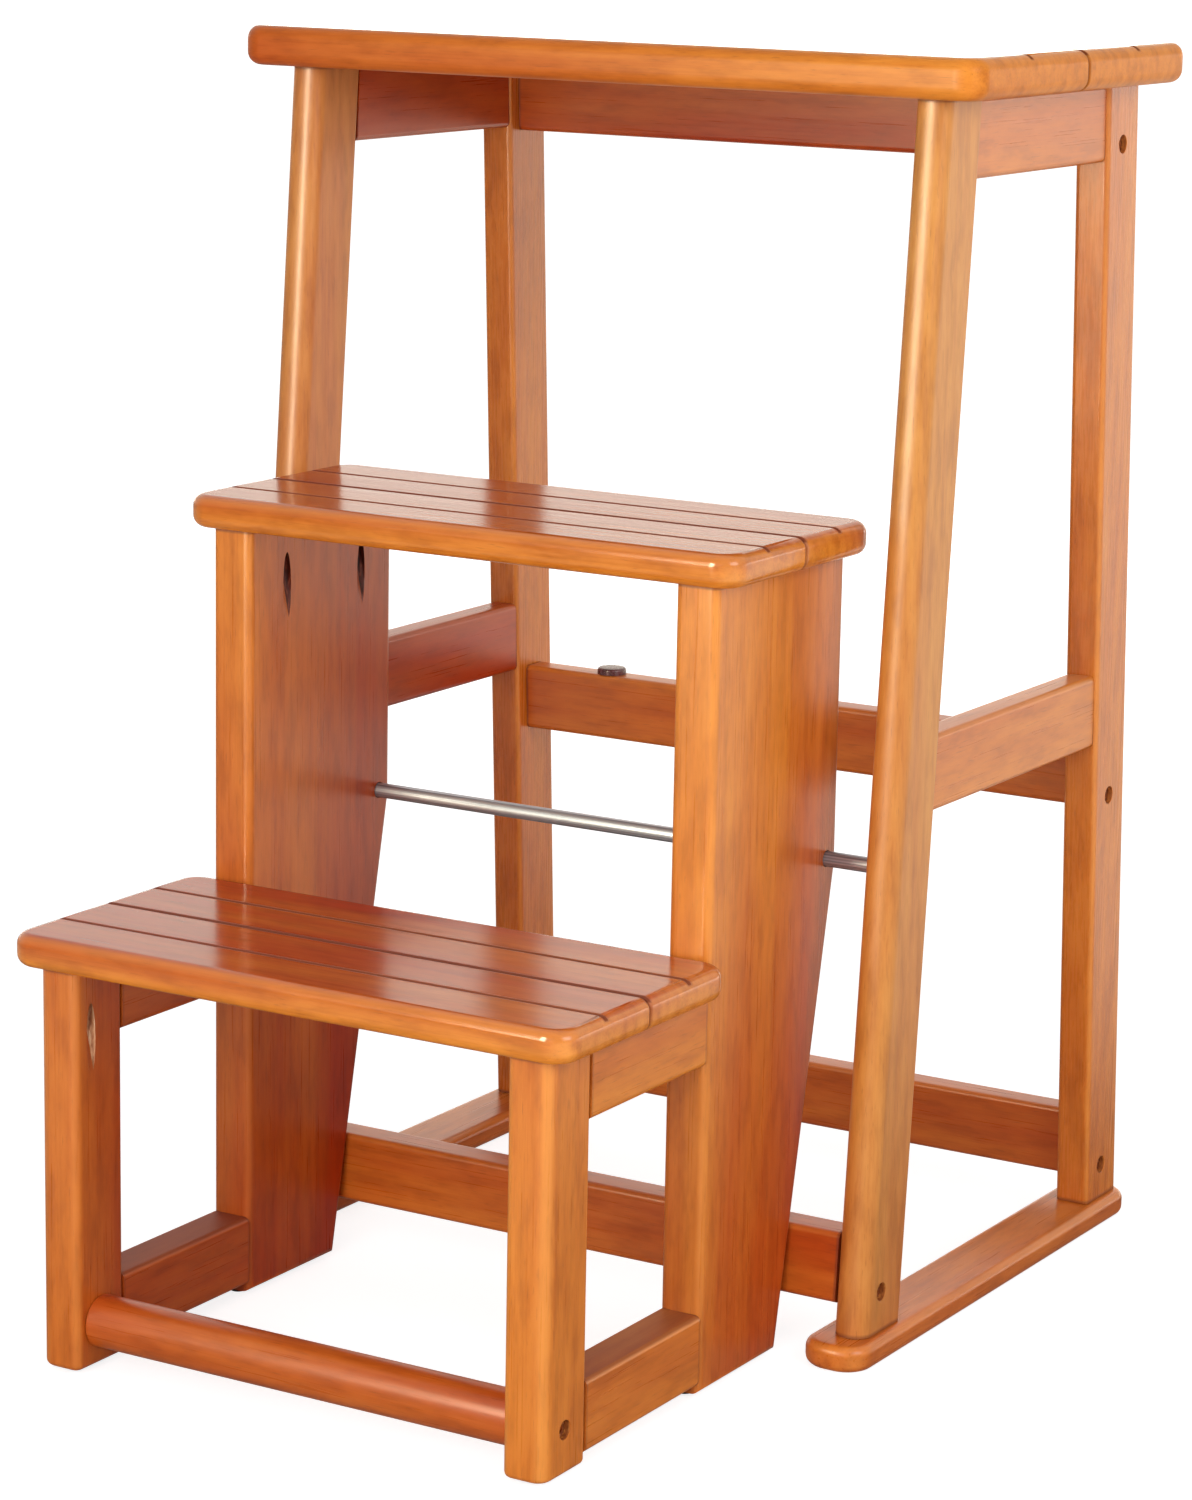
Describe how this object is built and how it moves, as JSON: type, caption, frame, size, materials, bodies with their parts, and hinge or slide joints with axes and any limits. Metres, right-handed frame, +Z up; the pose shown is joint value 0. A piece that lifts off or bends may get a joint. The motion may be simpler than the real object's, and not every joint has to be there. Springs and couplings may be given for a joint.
{
  "type": "folding step stool chair",
  "caption": "Wooden stool with a lower and a middle step in front. The steps are one unit that turns over on a steel rod and stows under the seat.",
  "frame": {"origin": "on the floor, under the middle of the object with its steps out", "axes": "+Z up, +X to the right of someone who faces the seat from the steps, +Y from the steps to the back"},
  "size_m": [0.439, 0.558, 0.66],
  "materials": {
    "lacquered_wood": "clear gloss lacquer over stained hardwood",
    "bright_steel": "bright drawn steel",
    "bronzed_steel": "bronzed steel, semi-gloss",
    "rubber": "dark brown rubber"
  },
  "bodies": {
    "frame": {"seat_board_front": "lacquered_wood", "seat_board_rear": "lacquered_wood", "rear_apron": "lacquered_wood", "rear_middle_rail": "lacquered_wood", "rear_lower_rail": "lacquered_wood", "front_lower_rail": "lacquered_wood", "front_leg_right": "lacquered_wood", "front_leg_left": "lacquered_wood", "rear_leg_right": "lacquered_wood", "rear_leg_left": "lacquered_wood", "runner_right": "lacquered_wood", "runner_left": "lacquered_wood", "side_apron_right": "lacquered_wood", "side_apron_left": "lacquered_wood", "side_rail_right": "lacquered_wood", "side_rail_left": "lacquered_wood", "rail_bumper_right": "rubber", "rail_bumper_left": "rubber", "axle_rod": "bright_steel", "rear_apron_bolt_right": "bronzed_steel", "rear_apron_bolt_left": "bronzed_steel", "rear_middle_rail_bolt_right": "bronzed_steel", "rear_middle_rail_bolt_left": "bronzed_steel", "rear_lower_rail_bolt_right": "bronzed_steel", "rear_lower_rail_bolt_left": "bronzed_steel", "front_lower_rail_bolt_right": "bronzed_steel", "front_lower_rail_bolt_left": "bronzed_steel"},
    "step_unit": {"lower_tread_front": "lacquered_wood", "lower_tread_rear": "lacquered_wood", "middle_tread_front": "lacquered_wood", "middle_tread_rear": "lacquered_wood", "side_board_right": "lacquered_wood", "side_board_left": "lacquered_wood", "front_post_right": "lacquered_wood", "front_post_left": "lacquered_wood", "step_top_rail_right": "lacquered_wood", "step_top_rail_left": "lacquered_wood", "step_bottom_rail_right": "lacquered_wood", "step_bottom_rail_left": "lacquered_wood", "front_stretcher": "lacquered_wood", "stretcher_bolt_right": "bronzed_steel", "stretcher_bolt_left": "bronzed_steel", "post_foot_right": "rubber", "post_foot_left": "rubber", "board_foot_right": "rubber", "board_foot_left": "rubber"}
  },
  "joints": [
    {"name": "step_fold", "type": "hinge", "parent": "frame", "child": "step_unit", "pos_m": [0, -0.00398, 0.254], "axis": [1, 0, 0], "range_deg": [-179, 0]}
  ]
}
